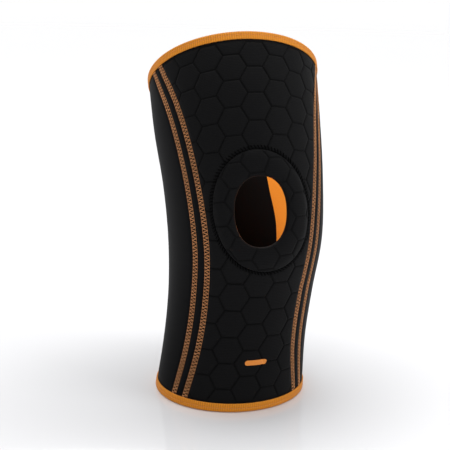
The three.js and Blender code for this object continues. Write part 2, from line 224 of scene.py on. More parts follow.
def front_seam(offset):
    """The seam beside the front panel, moved outwards by an offset."""
    return lambda share: angle_along(share, front_seam_arc(share) + offset)


def back_seam(offset):
    """The seam beside the panel behind the knee, moved towards the middle of the back by an offset."""
    return lambda share: angle_along(share, offset - TOP_WIDTH * value_at("back_seam", share), math.pi)


def mirrored(edges):
    """The two edges of the panel on the other side of the leg."""
    first, last = edges
    return lambda share: -last(share), lambda share: -first(share)


def oval(turn, width, height, squareness, shift, lean):
    """Points of an oval in lengths across and up the front."""
    power = 2 / squareness
    x = width / 2 * np.sign(np.cos(turn)) * np.abs(np.cos(turn)) ** power
    y = height / 2 * np.sign(np.sin(turn)) * np.abs(np.sin(turn)) ** power
    return x * math.cos(lean) - y * math.sin(lean) - shift, x * math.sin(lean) + y * math.cos(lean)


def hole_outline(turn):
    return oval(turn, HOLE_WIDTH, HOLE_HEIGHT, HOLE_SQUARENESS, HOLE_SHIFT, 0.0)


def ring_outline(turn):
    return oval(turn, RING_WIDTH, RING_HEIGHT, RING_SQUARENESS, 0.0, RING_TURN)


def outside_oval(x, y, width, height, squareness, shift, lean):
    """About the distance from a point to an oval, above zero outside it."""
    across = ((x + shift) * math.cos(lean) + y * math.sin(lean)) / (width / 2)
    up = (y * math.cos(lean) - (x + shift) * math.sin(lean)) / (height / 2)
    size = (np.abs(across) ** squareness + np.abs(up) ** squareness) ** (1 / squareness) + 1e-9
    slope_x = (np.abs(across) / size) ** (squareness - 1) / (width / 2)
    slope_y = (np.abs(up) / size) ** (squareness - 1) / (height / 2)
    return (size - 1) / np.hypot(slope_x, slope_y)


def outside_ring(x, y, clearance):
    width = RING_WIDTH + 2 * clearance
    height = RING_HEIGHT + 2 * clearance
    return outside_oval(x, y, width, height, RING_SQUARENESS, 0.0, RING_TURN)


def outside_hole(x, y, clearance):
    width = HOLE_WIDTH + 2 * clearance
    height = HOLE_HEIGHT + 2 * clearance
    return outside_oval(x, y, width, height, HOLE_SQUARENESS, HOLE_SHIFT, 0.0)


# Quilting. Columns of pads are one column width apart, and every other column is moved up by half a pad.

QUILT_SHARES = np.linspace(-0.5, 1.5, 4001)
QUILT_ROWS = FRONT_LENGTH / HEX_PITCH * value_at("rows", QUILT_SHARES)
HEX_CORNERS = np.array([
    (2 / 3, 0),
    (1 / 3, 1 / 2),
    (-1 / 3, 1 / 2),
    (-2 / 3, 0),
    (-1 / 3, -1 / 2),
    (1 / 3, -1 / 2),
])
PAD_RADII = (0.25, 0.48, 0.66, 0.78, 0.86, 0.92, 0.965, 1.0)  # hexagons of a pad's mesh, closer at its edge
PAD_DIVISIONS = 10  # points along each side of those hexagons
MERGE_STEPS = 3000  # points of two pads are one where they agree to this part of a column
SHOULDER_RUN = 0.62  # distance over which a pad rises from its groove, as a share of the groove's width
GROOVE_SHADE_RUN = (0.10, 0.45)  # where the painted shade at the bottom of a groove starts to fade, and where it is gone on the pad, as such shares


def pad_edge_distance(column, row):
    """How far a point lies inside the edge of its pad, from 0 to a half, as a share of the pitch."""
    best = np.zeros(np.shape(column))
    nearest = np.round(column)
    for step in (-1, 0, 1):
        centre_x = nearest + step
        shift = 0.5 * (centre_x % 2)
        centre_y = np.round(row - shift) + shift
        x = (column - centre_x) * math.sqrt(3) / 2
        y = row - centre_y
        flats = np.maximum(np.abs(y), np.abs(x) * math.sqrt(3) / 2 + np.abs(y) / 2)
        best = np.maximum(best, 0.5 - flats)
    return best


def pad_height(distance, pitch, sizes):
    """The rise of a pad at a distance from its edge, a share of the pitch."""
    away = np.clip(distance * pitch / (SHOULDER_RUN * sizes.groove_width), 0, 1)
    shoulder = np.sqrt(1 - (1 - away) ** 2)
    dome = 1 - (1 - np.clip(2 * distance, 0, 1)) ** 2
    return -sizes.groove_depth + (sizes.groove_depth - sizes.pad_crown) * shoulder + sizes.pad_crown * dome


def painted_groove_shade(distance, pitch, sizes):
    """1 at the bottom of a groove, where the colour is painted darker as shade in the recess, and 0 on a pad.
    """
    flat, pad = GROOVE_SHADE_RUN
    return 1 - smoothstep(distance * pitch, flat * sizes.groove_width, pad * sizes.groove_width)


# Meshes

def surface_grid(rows, columns):
    """Quads of a grid of points that is stored row by row."""
    across, up = np.meshgrid(np.arange(columns - 1), np.arange(rows - 1))
    first = (up * columns + across).ravel()
    return np.stack((first, first + 1, first + columns + 1, first + columns), axis=1)


def joined_sections(sections, size, looped):
    """Quads between closed sections that are stored one after another. looped joins the last to the first."""
    i, j = np.meshgrid(np.arange(sections if looped else sections - 1), np.arange(size), indexing="ij")
    after = (i + 1) % sections
    beside = (j + 1) % size
    corners = (i * size + j, i * size + beside, after * size + beside, after * size + j)
    return np.stack(corners, axis=-1).reshape(-1, 4)


def closed_faces(faces, count):
    """Faces of a sheet and of its back, with walls along open edges. The back's points come after count."""
    sides = [np.stack((faces[:, k - 1], faces[:, k]), axis=1) for k in range(faces.shape[1])]
    edges = np.concatenate(sides)
    keys = np.sort(edges, axis=1)
    _, index, uses = np.unique(keys, axis=0, return_index=True, return_counts=True)
    rim = edges[index[uses == 1]]
    walls = np.stack((rim[:, 1], rim[:, 0], rim[:, 0] + count, rim[:, 1] + count), axis=1)
    return [faces, faces[:, ::-1] + count, walls]


def trimmed(points, triangles, value):
    """Cuts a flat mesh of triangles where value is zero, and keeps the side where it is above zero."""
    side = value(points)
    above = side[triangles] > 0
    count = above.sum(axis=1)
    kept = triangles[count == 3].tolist()
    made = []
    known = {}

    def crossing(a, b):
        key = (min(a, b), max(a, b))
        if key not in known:
            known[key] = len(points) + len(made)
            part = side[a] / (side[a] - side[b])
            made.append(points[a] + (points[b] - points[a]) * part)
        return known[key]

    cut = (count == 1) | (count == 2)
    for corners, flags in zip(triangles[cut], above[cut]):
        odd = int(np.argmax(flags)) if flags.sum() == 1 else int(np.argmin(flags))
        a, b, c = (int(corners[(odd + k) % 3]) for k in range(3))
        first = crossing(a, b)
        last = crossing(a, c)
        if flags[odd]:
            kept.append([a, first, last])
        else:
            kept.append([first, b, c])
            kept.append([first, c, last])
    everything = np.concatenate((points, np.array(made).reshape(-1, points.shape[1])))
    used, renumbered = np.unique(np.array(kept), return_inverse=True)
    return everything[used], renumbered.reshape(-1, 3)


THREAD_SIDES = 6


def tube(path, normals, radius):
    """Points and faces of a closed thread along a path. normals point away from the cloth."""
    ahead = np.gradient(path, axis=0)
    ahead = ahead / np.linalg.norm(ahead, axis=1, keepdims=True)
    across = np.cross(ahead, normals)
    across = across / np.linalg.norm(across, axis=1, keepdims=True)
    up = np.cross(across, ahead)
    turns = np.linspace(0, 2 * math.pi, THREAD_SIDES, endpoint=False)
    ring = np.cos(turns)[None, :, None] * across[:, None] + np.sin(turns)[None, :, None] * up[:, None]
    points = (path[:, None] + radius * ring).reshape(-1, 3)
    first_end = np.arange(THREAD_SIDES)[None, ::-1]
    last_end = np.arange(THREAD_SIDES)[None] + (len(path) - 1) * THREAD_SIDES
    return points, [joined_sections(len(path), THREAD_SIDES, False), first_end, last_end]


def make_piece(name, points, faces, material, flat=None, press=None):
    """A smooth mesh piece that rides on the sleeve. flat gives its points on the flat cloth, in metres, and
    press gives each point a mask from 0 to 1 for painted light and shade: 1 at the bottom of a pad's groove,
    which is painted darker, or the height of a rib, whose top is painted lighter."""
    mesh = bpy.data.meshes.new(name)
    corners = [row for group in faces for row in np.asarray(group).tolist()]
    mesh.from_pydata(points.tolist(), [], corners)
    mesh.validate()
    mesh.shade_smooth()
    if flat is not None:
        layer = mesh.uv_layers.new(name="Cloth")
        index = np.empty(len(mesh.loops), np.int32)
        mesh.loops.foreach_get("vertex_index", index)
        layer.data.foreach_set("uv", flat[index].astype(np.float32).ravel())
    # the mask for painted light and shade that the materials read
    if press is not None:
        mesh.attributes.new("PaintedShade", "FLOAT", "POINT").data.foreach_set("value", press.astype(np.float32))
    mesh.materials.append(material)
    piece = bpy.data.objects.new(name, mesh)
    bpy.context.scene.collection.objects.link(piece)
    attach(piece, "root")
    return piece


def thread_piece(name, threads, material):
    """One piece of many threads. Each is given as its path, the normals along it and its radius."""
    points = []
    faces = []
    count = 0
    for path, normals, radius in threads:
        made, groups = tube(path, normals, radius)
        points.append(made)
        faces.extend(group + count for group in groups)
        count += len(made)
    return make_piece(name, np.concatenate(points), faces, material)


# Materials

def linear(code):
    """A colour given as sRGB hex, turned to linear."""
    parts = [int(code[k:k + 2], 16) / 255 for k in (1, 3, 5)]
    return tuple(c / 12.92 if c <= 0.04045 else ((c + 0.055) / 1.055) ** 2.4 for c in parts)


def add(tree, kind, inputs=None, **settings):
    """Adds a node with its settings. inputs gives each socket a value, or the socket that feeds it."""
    node = tree.nodes.new(kind)
    for name, value in settings.items():
        setattr(node, name, value)
    for name, value in (inputs or {}).items():
        if isinstance(value, bpy.types.NodeSocket):
            tree.links.new(value, node.inputs[name])
        else:
            node.inputs[name].default_value = value
    return node


def new_material(name, roughness, sheen=0.0, specular=0.5):
    """A material, its node tree and its shader, with the values that are the same all over."""
    material = bpy.data.materials.new(name)
    material.use_nodes = True
    shader = material.node_tree.nodes["Principled BSDF"]
    shader.inputs["Roughness"].default_value = roughness
    shader.inputs["Sheen Weight"].default_value = sheen
    shader.inputs["Sheen Roughness"].default_value = 0.45
    shader.inputs["Specular IOR Level"].default_value = specular
    return material, material.node_tree, shader


def scaled(colour, factor):
    return (*(min(1.0, channel * factor) for channel in colour), 1.0)


def finish(tree, shader, colour, shade, contrast, texture=None, depth=0.0):
    """Colours the shader, lighter where shade is high, and raises it by a depth where texture is high."""
    shades = add(
        tree,
        "ShaderNodeMix",
        {0: shade, 6: scaled(colour, 1 - contrast), 7: scaled(colour, 1 + contrast)},
        data_type="RGBA",
    )
    tree.links.new(shades.outputs[2], shader.inputs["Base Color"])
    if texture is not None:
        bump = add(tree, "ShaderNodeBump", {"Height": texture, "Distance": depth, "Strength": 1.0})
        tree.links.new(bump.outputs["Normal"], shader.inputs["Normal"])


def ripple(tree, length, spacing):
    """A wave from 0 to 1 that repeats at a spacing in metres."""
    phase = add(tree, "ShaderNodeMath", {0: length, 1: 2 * math.pi / spacing}, operation="MULTIPLY")
    wave = add(tree, "ShaderNodeMath", {0: phase.outputs[0]}, operation="SINE")
    half = add(tree, "ShaderNodeMath", {0: wave.outputs[0], 1: 0.5, 2: 0.5}, operation="MULTIPLY_ADD")
    return half.outputs[0]


def knit_pattern(tree, course, wale, fuzz):
    """Rows of knitted loops, each loop a small V, with fuzz as the share of unevenness. course and wale are
    the distances between the rows and the columns of loops. Tufts of the fuzz are about a millimetre across."""
    flat = add(tree, "ShaderNodeUVMap", uv_map="Cloth")
    parts = add(tree, "ShaderNodeSeparateXYZ", {"Vector": flat.outputs["UV"]})
    leg = add(tree, "ShaderNodeMath", {0: parts.outputs["X"], 1: wale / 2}, operation="PINGPONG")
    slanted = add(
        tree,
        "ShaderNodeMath",
        {0: leg.outputs[0], 1: 0.9, 2: parts.outputs["Y"]},
        operation="MULTIPLY_ADD",
    )
    loops = ripple(tree, slanted.outputs[0], course)
    fibre = add(tree, "ShaderNodeTexNoise", {"Vector": flat.outputs["UV"], "Scale": 0.9 / MM, "Detail": 2.0})
    uneven = add(tree, "ShaderNodeMix", {0: fuzz, 2: loops, 3: fibre.outputs["Fac"]}, data_type="FLOAT")
    return uneven.outputs[0]


def padded_knit(colours):
    # Polyester jersey bonded to foam and heat-moulded into pads. The knit is fine and matt, in level rows. The
    # grooves, where heat pressed the knit flat, are painted darker, a painted shade in the recesses between the
    # pads. Real rows are 0.6 mm apart and real columns 0.5 mm, too fine for the render, so they are drawn 1.3
    # and 1.1 mm apart.
    material, tree, shader = new_material("Moulded padded jersey", 0.66, sheen=0.02, specular=0.06)
    knit = knit_pattern(tree, 1.3 * MM, 1.1 * MM, 0.35)
    # The groove mask paints the bottom of each groove darker: painted shade
    groove_shade_node = add(tree, "ShaderNodeAttribute", attribute_name="PaintedShade")
    inputs = {0: groove_shade_node.outputs["Fac"], 1: -0.9, 2: knit}
    knit_and_groove_shade = add(tree, "ShaderNodeMath", inputs, operation="MULTIPLY_ADD")
    finish(tree, shader, colours.padded_knit, knit_and_groove_shade.outputs[0], 0.40, knit, 0.10 * MM)
    return material


def plain_knit(colours):
    # Nylon and elastane warp knit on thin foam, pressed flat. It is smoother than the pads and nearly even in
    # tone. Its loops are 0.5 mm apart, and are drawn 1.2 mm apart up the leg and 1.0 mm round it, because
    # finer ones don't show.
    material, tree, shader = new_material("Flat nylon warp knit", 0.60, sheen=0.01, specular=0.04)
    knit = knit_pattern(tree, 1.2 * MM, 1.0 * MM, 0.45)
    finish(tree, shader, colours.plain_knit, knit, 0.22, knit, 0.03 * MM)
    return material


def lining_knit(colours):
    # Brushed polyester jersey, dyed orange. The brushing hides the loops and leaves a soft matt surface, and
    # the dye looks deeper between the loops. They are 0.8 mm apart, and are drawn 1.4 mm apart up the leg and
    # 1.2 mm round it.
    material, tree, shader = new_material("Brushed orange jersey", 0.85, sheen=0.25, specular=0.25)
    knit = knit_pattern(tree, 1.4 * MM, 1.2 * MM, 0.5)
    finish(tree, shader, colours.lining, knit, 0.16, knit, 0.12 * MM)
    return material


def rib_tape(colours):
    # Woven polyester binding tape. Its weft ribs stand up from the tape; their tops are painted lighter, a
    # painted highlight, and the ground between them darker, a painted shade. The ribs are in the mesh, and a
    # point attribute holds their height, which drives that painted light and shade. The warp threads across
    # them, 0.4 mm apart on the real tape, are drawn 0.9 mm apart.
    material, tree, shader = new_material("Woven polyester rib tape", 0.60, sheen=0.08, specular=0.20)
    flat = add(tree, "ShaderNodeUVMap", uv_map="Cloth")
    parts = add(tree, "ShaderNodeSeparateXYZ", {"Vector": flat.outputs["UV"]})
    warp = ripple(tree, parts.outputs["Y"], 0.9 * MM)
    # rib height paints the rib tops lighter and the ground between darker, mixed with the warp pattern: painted
    # highlight and shade
    ribs = add(tree, "ShaderNodeAttribute", attribute_name="PaintedShade")
    warp_and_rib_shade = add(tree, "ShaderNodeMix", {0: 0.75, 2: warp, 3: ribs.outputs["Fac"]}, data_type="FLOAT")
    finish(tree, shader, colours.tape, warp_and_rib_shade.outputs[0], 0.28, warp, 0.06 * MM)
    return material


def sewing_thread(name, colour, gloss):
    # Two-ply polyester filament. The twist gives each stitch short bright and dark flecks along it, one for
    # each turn of 0.7 mm.
    material, tree, shader = new_material(name, 0.50, sheen=0.3 * gloss, specular=gloss)
    spot = add(tree, "ShaderNodeTexCoord")
    inputs = {"Vector": spot.outputs["Object"], "Scale": 1.4 / MM, "Detail": 1.0}
    fleck = add(tree, "ShaderNodeTexNoise", inputs).outputs["Fac"]
    finish(tree, shader, colour, fleck, 0.45, fleck, 0.05 * MM)
    return material


def orange_thread(colours):
    name = "Bright polyester thread"
    return bpy.data.materials.get(name) or sewing_thread(name, colours.thread, 0.30)


# Nearly pure black and almost without gloss, darker than black thread: the stitches are real, and their extra
# darkness is painted shade in the seams they lie in
def black_thread(colours):
    name = "Spun polyester thread"
    return bpy.data.materials.get(name) or sewing_thread(name, colours.dark_thread, 0.02)


def transfer_film(colours):
    # Heat-transfer film of soft polyurethane, pressed on hot. It takes some of the knit's texture, drawn as
    # coarse as that knit, and stays a little smoother and brighter than dyed cloth.
    material, tree, shader = new_material("Pressed polyurethane film", 0.42, specular=0.40)
    knit = knit_pattern(tree, 1.3 * MM, 1.1 * MM, 0.4)
    finish(tree, shader, colours.film, knit, 0.08, knit, 0.04 * MM)
    return material


def studio_floor(colours):
    # Satin painted board, white, with a painted shadow: light grey under the sleeve, fading to white further
    # out. Its thin clear coat gives a faint, nearly sharp reflection of what stands on it.
    material, tree, shader = new_material("Satin board with painted shadow", 0.05, specular=1.0)
    # A painted shadow: the board is darker round a point a little left of and in front of the sleeve, spread
    # wider across than front to back, and lighter further out.
    spot = add(tree, "ShaderNodeTexCoord")
    inputs = {0: spot.outputs["Object"], 1: (0.07, 0.05, 0.0)}
    spread = add(tree, "ShaderNodeVectorMath", inputs, operation="ADD")
    inputs = {0: spread.outputs[0], 1: (0.5, 1.0, 0.0)}
    squeezed = add(tree, "ShaderNodeVectorMath", inputs, operation="MULTIPLY")
    distance = add(tree, "ShaderNodeVectorMath", {0: squeezed.outputs[0]}, operation="LENGTH")
    inputs = {"Value": distance.outputs["Value"], "From Min": 0.02, "From Max": 0.20}
    beyond_painted_shadow = add(tree, "ShaderNodeMapRange", inputs, interpolation_type="SMOOTHSTEP")
    finish(tree, shader, colours.floor, beyond_painted_shadow.outputs["Result"], 0.13)
    return material


def shared(name, make, colours):
    """The material of that name, made once and shared by the pieces that have it."""
    return bpy.data.materials.get(name) or make(colours)


# What a user may change

def size_property(name, description, default):
    return FloatProperty(name=name, description=description, default=default, unit="LENGTH")


class SleeveSizes(PropertyGroup):
    groove_depth: size_property("Groove depth", "Depth of the grooves below the pads' crowns", 1.2 * MM)
    groove_width: size_property("Groove width", "Width of the grooves between the pads", 2.7 * MM)
    pad_crown: size_property("Pad crown", "Rise of a pad from its shoulder to its middle", 0.3 * MM)
    ring_rise: size_property("Ring rise", "Height of the ring's crest above the pads", 2.2 * MM)
    ring_pitch: size_property("Ring pad pitch", "Distance between the grooves of the ring", 18.5 * MM)
    seam_press: size_property("Seam press", "How far stitches press the cloth down", 0.9 * MM)
    flatlock_width: size_property("Flatlock width", "Width of a row of flatlock stitches", 4.5 * MM)
    flatlock_step: size_property("Flatlock step", "Length of one flatlock stitch", 2.8 * MM)
    thread: size_property("Thread", "Thickness of the orange thread", 0.22 * MM)
    cover_thread: size_property("Cover thread", "Thickness of the flatlock's zigzag thread", 0.44 * MM)
    # The real overlock stitches are about 1.7 mm apart and the tape's ribs about 1 mm, too fine for the
    # render
    overlock_step: size_property("Overlock step", "Distance between stitches round the ring", 2.5 * MM)
    tape_rib: size_property("Tape rib", "Distance between the ribs of the hem tape", 1.8 * MM)


def colour_property(name, description, code):
    return FloatVectorProperty(
        name=name,
        description=description,
        subtype="COLOR",
        size=3,
        min=0.0,
        max=1.0,
        default=linear(code),
    )


class SleeveColours(PropertyGroup):
    padded_knit: colour_property("Padded knit", "Colour of the quilted front and the ring", "#0d0d0e")
    plain_knit: colour_property("Plain knit", "Colour of the strips, sides and back", "#0c0c0d")
    lining: colour_property("Lining", "Colour of the inner face", "#ec9a2a")
    tape: colour_property("Tape", "Colour of the hem tapes", "#cf801c")
    thread: colour_property("Thread", "Colour of the flatlock stitches", "#d6935b")
    # Nearly pure black, darker than real black thread, so the stitches round the ring also carry painted shade
    # along their seam
    dark_thread: colour_property("Dark thread", "Colour of the stitches round the ring", "#010101")
    film: colour_property("Film", "Colour of the plain bar", "#d9822c")
    floor: colour_property("Floor", "Colour of the studio floor", "#ececee")


# The quilted front

def quilt_flat(column, row):
    """Share and arc of points that are given in columns and rows of pads."""
    share = np.interp(row, QUILT_ROWS, QUILT_SHARES)
    arc = RING_WIDTH * value_at("grain", share) + column * HEX_COLUMN
    return share, arc


def seam_distance(share, arc):
    """Distance from a point inside the front panel to its nearer seam."""
    probe = 1e-3
    slope = (front_seam_arc(share + probe) - front_seam_arc(share - probe)) / (2 * probe * FRONT_LENGTH)
    return (front_seam_arc(share) - np.abs(arc)) / np.hypot(1, slope)


def groove_distance(share, arc):
    """How far points of the front lie inside the edges of their pads, as a share of the pitch."""
    row = np.interp(share, QUILT_SHARES, QUILT_ROWS)
    column = (arc - RING_WIDTH * value_at("grain", share)) / HEX_COLUMN
    return pad_edge_distance(column, row)


def front_rise(share, arc, sizes):
    """The rise of the quilted front, pressed down by seams and hems."""
    rise = pad_height(groove_distance(share, arc), HEX_PITCH, sizes)
    y = length_at_share(share) - KNEE_LENGTH
    beside_seam = smoothstep(seam_distance(share, arc), sizes.flatlock_width / 2, FREE_FROM_SEAM)
    beside_ring = smoothstep(outside_ring(arc, y, 0.0), PIECE_GAP, 2.0 * MM)
    free = beside_seam * beside_ring
    rise = -sizes.seam_press + (rise + sizes.seam_press) * free
    swell = smoothstep(from_hem(share, angle_along(share, arc)), BINDING_WIDTH, BINDING_WIDTH + PINCH_RUN)
    return -HEM_PINCH + (rise + HEM_PINCH) * swell


def pad_mesh():
    """Triangles of one pad from its middle out, in columns and rows."""
    points = [(0.0, 0.0)]
    sides = len(HEX_CORNERS)
    for radius in PAD_RADII:
        for k in range(sides):
            side = HEX_CORNERS[(k + 1) % sides] - HEX_CORNERS[k]
            for step in range(PAD_DIVISIONS):
                points.append(tuple(radius * (HEX_CORNERS[k] + side * step / PAD_DIVISIONS)))
    size = sides * PAD_DIVISIONS
    triangles = [(0, 1 + k, 1 + (k + 1) % size) for k in range(size)]
    for ring in range(len(PAD_RADII) - 1):
        for k in range(size):
            a = 1 + ring * size + k
            b = 1 + ring * size + (k + 1) % size
            triangles.append((a, a + size, b + size))
            triangles.append((a, b + size, b))
    return np.array(points), np.array(triangles)


def quilt_mesh():
    """Triangles of the whole field of pads, wider than the panel, in columns and rows."""
    pad, triangles = pad_mesh()
    widest = float(np.max(SECTIONS["seam"] + np.abs(SECTIONS["grain"])))
    columns = math.ceil(RING_WIDTH * widest / HEX_COLUMN)
    first = math.floor(FRONT_LENGTH / HEX_PITCH * value_at("rows", 0.0)) - 1
    last = math.ceil(FRONT_LENGTH / HEX_PITCH * value_at("rows", 1.0)) + 1
    points = []
    faces = []
    for column in range(-columns, columns + 1):
        for row in np.arange(first + 0.5 * (column % 2), last):
            faces.append(triangles + len(points) * len(pad))
            points.append(pad + (column, row))
    points = np.concatenate(points)
    keys = np.round(points * MERGE_STEPS).astype(int)
    _, index, merged = np.unique(keys, axis=0, return_index=True, return_inverse=True)
    return points[index], merged.ravel()[np.concatenate(faces)]


class SLEEVE_OT_quilted_front(Operator):
    """Makes the quilted front panel, cut out round the kneecap ring"""

    bl_idname = "sleeve.quilted_front"
    bl_label = "Quilted Front"

    def execute(self, context):
        sizes = context.scene.sleeve_sizes
        points, triangles = quilt_mesh()

        def inside_seams(flat):
            share, arc = quilt_flat(flat[:, 0], flat[:, 1])
            return front_seam_arc(share) - PIECE_GAP / 2 - np.abs(arc)

        def inside_hems(flat):
            share, arc = quilt_flat(flat[:, 0], flat[:, 1])
            return from_hem(share, angle_along(share, arc)) - HEM_START

        def beyond_ring(flat):
            share, arc = quilt_flat(flat[:, 0], flat[:, 1])
            return outside_ring(arc, length_at_share(share) - KNEE_LENGTH, PIECE_GAP)

        for value in (inside_seams, inside_hems, beyond_ring):
            points, triangles = trimmed(points, triangles, value)
        share, arc = quilt_flat(points[:, 0], points[:, 1])
        angle = angle_along(share, arc)
        outer = place(share, angle, front_rise(share, arc, sizes))
        inner = place(share, angle, -PANEL_THICKNESS)
        flat = np.stack((arc, length_at_share(share)), axis=1)
        # mask of the painted shade at the bottom of the grooves
        press = painted_groove_shade(groove_distance(share, arc), HEX_PITCH, sizes)
        piece = make_piece(
            "quilted_front",
            np.concatenate((outer, inner)),
            closed_faces(triangles, len(outer)),
            shared("Moulded padded jersey", padded_knit, context.scene.sleeve_colours),
            np.concatenate((flat, flat)),
            np.concatenate((press, press)),
        )
        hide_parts("front_panel")
        return {"FINISHED"}


# The ring round the kneecap

RING_GRAIN = math.radians(5.8)  # turn of the ring's own pads
RING_MIDDLE = (0.136, 0.884)  # where the ring's middle lies on its pads, in columns and rows
CREST_POWER = 2.6  # 2 makes the ring's section round, and more makes its top flatter
HOLE_EDGE_FALL = 1.56 * MM  # how far the ring's edge rolls down at the hole
HOLE_EDGE_RUN = 0.045  # over this share of the way to the rim
RIM_EDGE_RUN = 0.06  # the same at the rim
RING_ROUNDS = 480  # sections of the ring's mesh
RING_NEAR = np.array([0.0, 0.01, 0.025, 0.045, 0.07])  # shares of the way, where points lie closer
RING_TOP = np.concatenate((RING_NEAR, np.linspace(0.1, 0.9, 33), 1 - RING_NEAR[::-1]))
RING_UNDERSIDE = np.array([1.0, 0.75, 0.5, 0.25, 0.0])


def ring_groove_distance(x, y, pitch):
    """How far points of the ring lie inside the edges of its pads, as a share of the pitch."""
    column = (x * math.cos(RING_GRAIN) + y * math.sin(RING_GRAIN)) / (pitch * math.sqrt(3) / 2)
    row = (y * math.cos(RING_GRAIN) - x * math.sin(RING_GRAIN)) / pitch
    return pad_edge_distance(column + RING_MIDDLE[0], row + RING_MIDDLE[1])


def ring_rise(x, y, part, sizes):
    """The rise of the ring at a part of the way from the hole to its rim."""
    pads = pad_height(ring_groove_distance(x, y, sizes.ring_pitch), sizes.ring_pitch, sizes)
    crest = sizes.ring_rise * (1 - np.abs(2 * part - 1) ** CREST_POWER)
    free = smoothstep(part, 0.03, 0.16) * smoothstep(part, 0.98, 0.86)
    hole_fall = HOLE_EDGE_FALL * (1 - np.sqrt(np.clip(part / HOLE_EDGE_RUN, 0, 1)))
    rim_fall = sizes.seam_press * (1 - np.sqrt(np.clip((1 - part) / RIM_EDGE_RUN, 0, 1)))
    return crest + pads * free - hole_fall - rim_fall


class SLEEVE_OT_kneecap_ring(Operator):
    """Makes the padded ring round the kneecap opening"""

    bl_idname = "sleeve.kneecap_ring"
    bl_label = "Kneecap Ring"

    def execute(self, context):
        sizes = context.scene.sleeve_sizes
        turn = np.linspace(0, 2 * math.pi, RING_ROUNDS, endpoint=False)[:, None]
        hole_x, hole_y = hole_outline(turn)
        rim_x, rim_y = ring_outline(turn)

        def across(part):
            return hole_x + (rim_x - hole_x) * part, hole_y + (rim_y - hole_y) * part

        top_x, top_y = across(RING_TOP[None, :])
        back_x, back_y = across(RING_UNDERSIDE[None, :])
        x = np.concatenate((top_x, back_x), axis=1)
        y = np.concatenate((top_y, back_y), axis=1)
        top_rise = ring_rise(top_x, top_y, np.broadcast_to(RING_TOP, top_x.shape), sizes)
        rise = np.concatenate((top_rise, np.full(back_x.shape, -PANEL_THICKNESS)), axis=1)
        points = place_on_knee(x.ravel(), y.ravel(), rise.ravel())
        # mask of the painted shade at the bottom of the ring's grooves
        press = painted_groove_shade(ring_groove_distance(x, y, sizes.ring_pitch), sizes.ring_pitch, sizes)
        piece = make_piece(
            "kneecap_ring",
            points,
            [joined_sections(RING_ROUNDS, x.shape[1], True)],
            shared("Moulded padded jersey", padded_knit, context.scene.sleeve_colours),
            np.stack((x.ravel(), KNEE_LENGTH + y.ravel()), axis=1),
            press.ravel(),
        )
        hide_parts("patella_ring")
        return {"FINISHED"}


# The plain panels and the lining

NEAR_SEAM = np.array([0.0, 0.35, 0.8, 1.4, 2.1, 3.0, 4.0]) * MM  # distances of the mesh's columns from a seam
COLUMN_GAP = 2 * MM  # greatest distance between its other columns
PANEL_ROWS = 136
SIDE_WIDTH = 80 * MM  # about the width of a side and of the back, for their number of columns
LINING_WIDTH = 330 * MM  # the same for the lining
GATHER_HEIGHT = 0.12 * MM  # how far cloth eases up between stitches that gather it
GATHERS = 262 / 7.3  # such gathers from hem to hem
GATHER_DRIFT = (1.7, 31)  # how far they stray from an even spacing, and how fast, in radians
GATHER_FADE = 9 * MM  # how far from the seam they die away


def panel_columns(width):
    """Shares across a panel of that width, closer together near its two seams."""
    near = NEAR_SEAM[NEAR_SEAM < 0.45 * width]
    gaps = max(2, math.ceil((width - 2 * near[-1]) / COLUMN_GAP))
    middle = np.linspace(near[-1], width - near[-1], gaps + 1)
    return np.concatenate((near[:-1], middle, (width - near[::-1])[1:])) / width


def panel_grid(first, last, width):
    """Shares and angles of a grid of points between two seams, one row for each line round the leg."""
    across = panel_columns(width)[None, :]
    up = np.linspace(0, 1, PANEL_ROWS)[:, None]
    share = np.broadcast_to(up, (PANEL_ROWS, across.shape[1])).copy()
    for _ in range(3):
        start = first(share)
        angle = start + (last(share) - start) * across
        low = hem_share(False, angle, HEM_START)
        high = hem_share(True, angle, HEM_START)
        share = low + (high - low) * up
    return share, angle


def seam_gap(share, angle):
    """Distance along the cloth from each point of a grid to the nearer of its two seams."""
    points = place(share, angle, 0.0)
    steps = np.linalg.norm(np.diff(points, axis=1), axis=2)
    walked = np.concatenate((np.zeros((len(steps), 1)), np.cumsum(steps, axis=1)), axis=1)
    return np.minimum(walked, walked[:, -1:] - walked)


def plain_rise(share, angle, gap, sizes):
    """The rise of plain cloth, pressed down by seams and hems and eased a little where stitches gather it."""
    free = smoothstep(gap, sizes.flatlock_width / 2, FREE_FROM_SEAM)
    drift, pace = GATHER_DRIFT
    gathers = np.sin(share * GATHERS * 2 * math.pi + drift * np.sin(share * pace))
    gathers = gathers * np.exp(-gap / GATHER_FADE)
    rise = -PLAIN_SINK + GATHER_HEIGHT * gathers * free
    rise = -sizes.seam_press + (rise + sizes.seam_press) * free
    swell = smoothstep(from_hem(share, angle), BINDING_WIDTH, BINDING_WIDTH + PINCH_RUN)
    return -HEM_PINCH + (rise + HEM_PINCH) * swell


def cloth_facts(share, angle):
    """Greatest width and length of a grid of cloth, and its flat area."""
    points = place(share, angle, 0.0)
    across = np.linalg.norm(np.diff(points, axis=1), axis=2)
    up = np.linalg.norm(np.diff(points, axis=0), axis=2)
    area = float((0.5 * (across[1:] + across[:-1]) * 0.5 * (up[:, 1:] + up[:, :-1])).sum())
    width = float(across.sum(axis=1).max())
    length = float(up.sum(axis=0).max())
    return (width, length), min(area, width * length)


